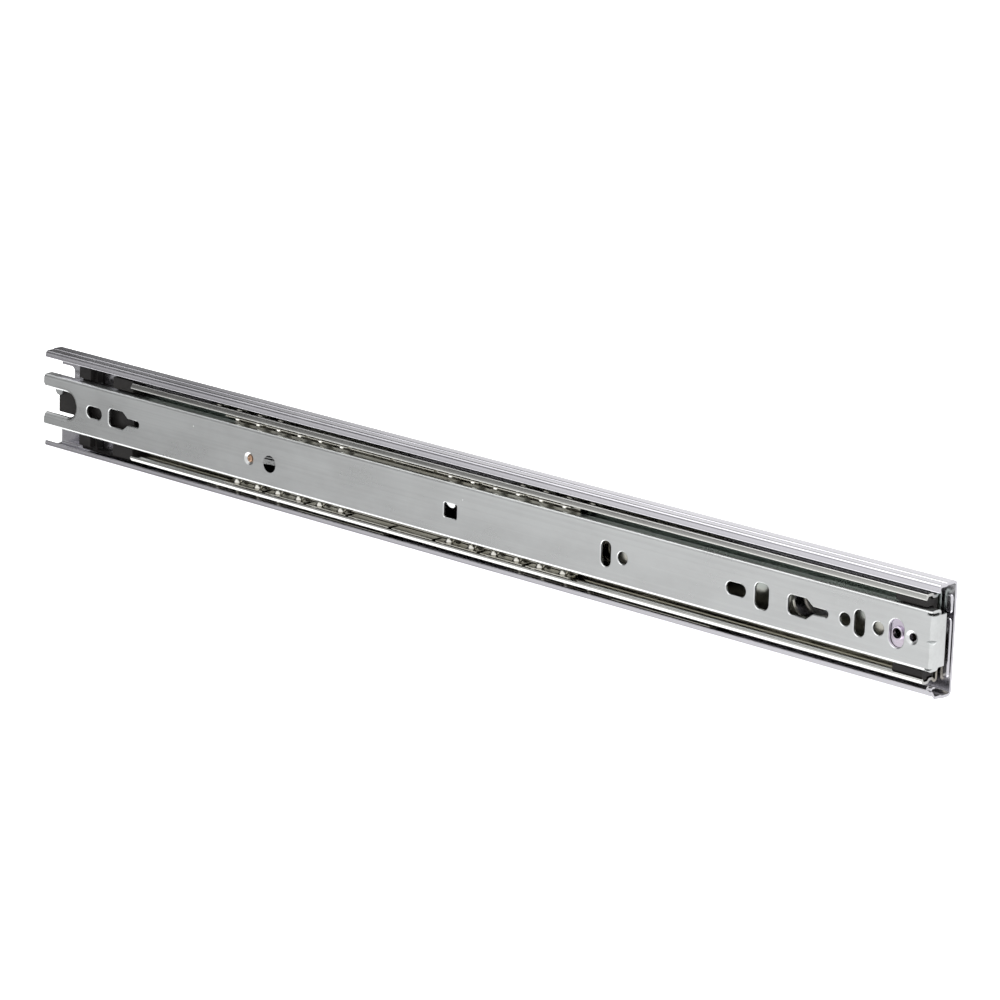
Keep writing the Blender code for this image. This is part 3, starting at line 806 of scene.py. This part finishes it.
def make_outer_retainer(word, rear, look):
    """Balls at its rear end, then a full-width pad that shows under the intermediate member's lip."""
    flange, web = OUTER_BALL_HEIGHT, -SHEET - GAP - RETAINER_SHEET / 2
    half = rounded_path([(-9.6, flange), (web, flange, 0.7), (web, 0.0)])
    section = sheet_outline(mirrored(half[:-1]), RETAINER_SHEET)
    front = rear + OUTER_RETAINER_LENGTH
    pad_rear = rear + OUTER_PAD_START
    pad_front = pad_rear + OUTER_PAD_LENGTH
    retainer = make_object("retainer", lambda bm: add_length(bm, section, rear, front))

    def cuts(bm):
        add_ball_windows(bm, outer_ball_stations(rear), OUTER_BALL_Y, flange)
        for stretch in ((rear - 1.0, pad_rear), (pad_front, front + 1.0)):
            for side in (1, -1):
                add_box(bm, stretch, (-11.0, -9.0), sorted((side * (flange - 1.5), side * (flange + 1.5))))
        for offset in (27.0, 85.0):
            add_through(bm, slot_outline(rear + offset, 0, 30.0, 20.0, corner=4.0), ((-3.0, 0), (-1.0, 0)))

    combine(retainer, cuts, "DIFFERENCE")
    smooth_bends(retainer)
    finish_piece(retainer, "outer_ball_retainer_" + word, look)


def make_balls(word, stations, y, height, look):
    for side, row in ((1, "top"), (-1, "bottom")):
        for number, station in enumerate(stations, start=1):
            centre = Matrix.Translation(place(station, y, side * height))
            ball = make_object("ball", lambda bm: bmesh.ops.create_icosphere(
                bm, subdivisions=4, radius=BALL_RADIUS * MM, matrix=centre))
            ball.data.shade_smooth()
            finish_piece(ball, f"{word}_ball_{row}_{number:02d}", look)


# ---------------------------------------------------------------- materials

def principled(name):
    mat = bpy.data.materials.new(name)
    mat.use_nodes = True
    return mat, Nodes(mat.node_tree), mat.node_tree.nodes["Principled BSDF"]


def zinc(name, light, dark, roughness, rolling=1.0):
    """Bright zinc over rolled steel: long faint rolling lines, soft clouding and a fine grain."""
    mat, nodes, shader = principled(name)
    lines = nodes.noise(nodes.stretched((6.0, 900.0, 900.0)), 1.0, 2.0, 0.5)
    clouds = nodes.noise(nodes.stretched((26.0, 60.0, 60.0)), 1.0, 4.0, 0.62)
    grains = nodes.noise(nodes.stretched((900.0, 900.0, 900.0)), 1.0, 2.0)
    tone = nodes.mix(nodes.spread(clouds, 0.32, 0.68), dark, light)
    streak = nodes.spread(lines, 0.38, 0.62, 0.97, 1.01)
    streaked = nodes.mix(rolling, tone, nodes.mix(1.0, tone, streak, "MULTIPLY"))
    nodes.feed(shader.inputs["Base Color"], streaked)
    shader.inputs["Metallic"].default_value = 1.0
    spread = nodes.maths("ADD", nodes.spread(clouds, 0.3, 0.7, -0.03, 0.03),
                         nodes.spread(grains, 0.3, 0.7, -0.01, 0.01))
    nodes.feed(shader.inputs["Roughness"], nodes.maths("ADD", spread, roughness))
    bump = nodes.add("ShaderNodeBump")
    bump.inputs["Strength"].default_value = 0.006 * rolling
    bump.inputs["Distance"].default_value = 0.00002
    nodes.feed(bump.inputs["Height"], lines)
    nodes.feed(shader.inputs["Normal"], bump.outputs[0])
    return mat


def zinc_with_painted_reflection(name, lip, painted_reflection_top, painted_reflection_bottom, roughness):
    """Zinc with a painted reflection: neutral at the lips and behind, a painted greenish reflection in the
    upper channel and a painted khaki reflection below.
    """
    mat = zinc(name, lip, lip, roughness)
    nodes = Nodes(mat.node_tree)
    shader = mat.node_tree.nodes["Principled BSDF"]
    plain = shader.inputs["Base Color"].links[0].from_socket
    parts = nodes.add("ShaderNodeSeparateXYZ")
    nodes.feed(parts.inputs[0], nodes.stretched((1.0, 1.0, 1.0)))
    facing = nodes.add("ShaderNodeSeparateXYZ")
    nodes.feed(facing.inputs[0], nodes.add("ShaderNodeTexCoord").outputs["Normal"])
    in_channel = nodes.spread(facing.outputs[1], 0.0, 0.3, 1.0, 0.0)
    # Mask of the painted reflection: forward-facing surfaces deep in the channel.
    painted_reflection_mask = nodes.maths("MULTIPLY", in_channel, nodes.spread(parts.outputs[1], -7.5 * MM, -4.0 * MM))
    upper = nodes.spread(parts.outputs[2], -3.0 * MM, 3.0 * MM)
    # Painted reflection colours, greenish above and khaki below, multiplied into the zinc.
    painted_reflection_tint = nodes.mix(upper, painted_reflection_bottom, painted_reflection_top)
    nodes.feed(shader.inputs["Base Color"], nodes.mix(painted_reflection_mask, plain, nodes.mix(1.0, plain, painted_reflection_tint, "MULTIPLY")))
    return mat


def moulded_plastic():
    mat, nodes, shader = principled("black_plastic_fine")
    grain = nodes.noise(nodes.stretched((2600.0, 2600.0, 2600.0)), 1.0, 2.0)
    clouds = nodes.noise(nodes.stretched((120.0, 120.0, 120.0)), 1.0, 3.0)
    nodes.feed(shader.inputs["Base Color"], nodes.mix(clouds, (0.014, 0.013, 0.013), (0.030, 0.028, 0.027)))
    nodes.feed(shader.inputs["Roughness"], nodes.spread(grain, 0.3, 0.7, 0.36, 0.52))
    shader.inputs["Specular IOR Level"].default_value = 0.28
    bump = nodes.add("ShaderNodeBump")
    bump.inputs["Strength"].default_value = 0.25
    bump.inputs["Distance"].default_value = 0.00004
    nodes.feed(bump.inputs["Height"], grain)
    nodes.feed(shader.inputs["Normal"], bump.outputs[0])
    return mat


def ball_steel():
    mat, nodes, shader = principled("ball_steel_fine")
    film = nodes.noise(nodes.stretched((420.0, 420.0, 420.0)), 1.0, 3.0)
    nodes.feed(shader.inputs["Base Color"], nodes.mix(film, (0.72, 0.70, 0.62), (0.86, 0.85, 0.82)))
    nodes.feed(shader.inputs["Roughness"], nodes.spread(film, 0.35, 0.7, 0.06, 0.18))
    shader.inputs["Metallic"].default_value = 1.0
    return mat


def copper():
    mat, nodes, shader = principled("copper_rivet_fine")
    film = nodes.noise(nodes.stretched((900.0, 900.0, 900.0)), 1.0, 3.0)
    nodes.feed(shader.inputs["Base Color"], nodes.mix(film, (0.36, 0.21, 0.13), (0.58, 0.39, 0.28)))
    nodes.feed(shader.inputs["Roughness"], nodes.spread(film, 0.3, 0.7, 0.28, 0.45))
    shader.inputs["Metallic"].default_value = 1.0
    return mat


# ---------------------------------------------------------------- the slide

def make_slide():
    face = zinc("zinc_face_fine", (0.715, 0.73, 0.73), (0.64, 0.65, 0.65), 0.30)
    steel = zinc("zinc_fine", (0.70, 0.69, 0.73), (0.64, 0.63, 0.67), 0.20, rolling=0.0)
    # The intermediate member's zinc, with a painted greenish and khaki reflection inside its channel.
    inside = zinc_with_painted_reflection("zinc_inside_painted_reflection_fine", (0.64, 0.64, 0.62), (0.77, 0.86, 0.83), (0.88, 0.84, 0.73), 0.20)
    strip = zinc("retainer_fine", (0.70, 0.69, 0.64), (0.52, 0.50, 0.44), 0.13, rolling=0.0)
    lilac = zinc("clear_zinc_fine", (0.69, 0.62, 0.71), (0.50, 0.46, 0.55), 0.18)
    plastic = moulded_plastic()
    steel_ball = ball_steel()
    make_outer_member(steel)
    make_rear_bumper(plastic)
    make_intermediate_member(inside)
    make_front_guides(plastic)
    make_inner_member(face)
    make_stop_rivet(copper())
    make_adjuster_plate(lilac)
    make_inner_retainer(strip)
    make_balls("inner", inner_ball_stations(), INNER_BALL_Y, INNER_BALL_HEIGHT, steel_ball)
    for word, rear in OUTER_RETAINERS.items():
        make_outer_retainer(word, rear, strip)
        make_balls("outer_" + word, outer_ball_stations(rear), OUTER_BALL_Y, OUTER_BALL_HEIGHT, steel_ball)


make_camera()
make_world()
make_floor()
make_slide()
